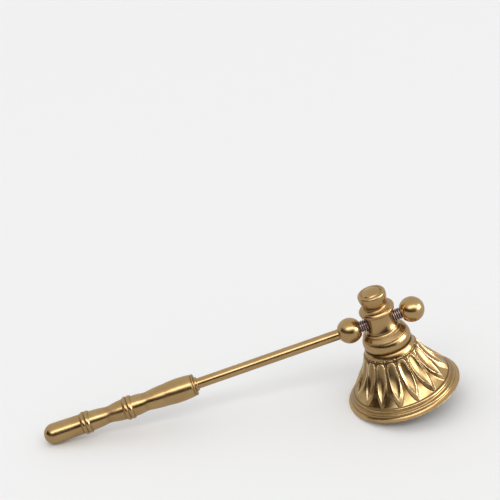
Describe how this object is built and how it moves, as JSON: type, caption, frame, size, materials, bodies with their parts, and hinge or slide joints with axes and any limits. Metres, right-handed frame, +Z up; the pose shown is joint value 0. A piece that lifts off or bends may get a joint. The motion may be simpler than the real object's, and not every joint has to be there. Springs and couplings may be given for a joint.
{
  "type": "candle snuffer",
  "caption": "Hand candle snuffer: a flared bell with leaf ornament that swings on a stud between two balls, on a straight rod with a turned grip.",
  "frame": {"origin": "on the table, below the middle of the whole object's box", "axes": "+X from the grip to the bell, +Z up, with the object lying on the rim's low edge and the grip's domed end"},
  "size_m": [0.198, 0.0544, 0.0615],
  "materials": {
    "turned_brass": "turned and polished, lightly aged",
    "cast_brass": "cast and polished, darker in the hollows",
    "plain_steel": "bare, dulled by age"
  },
  "bodies": {
    "handle": {"grip": "turned_brass", "rod": "turned_brass", "inner_ball": "turned_brass", "swivel_stud": "plain_steel", "outer_ball": "turned_brass"},
    "swinging_bell": {"neck": "turned_brass", "collar_ring": "turned_brass", "bell": "cast_brass", "bell_washer": "plain_steel", "bell_nut": "plain_steel"}
  },
  "joints": [
    {"name": "bell_swing", "type": "hinge", "parent": "handle", "child": "swinging_bell", "pos_m": [0.063, 0, 0.0449], "axis": [0.9692, 0, 0.2463], "continuous": true}
  ]
}
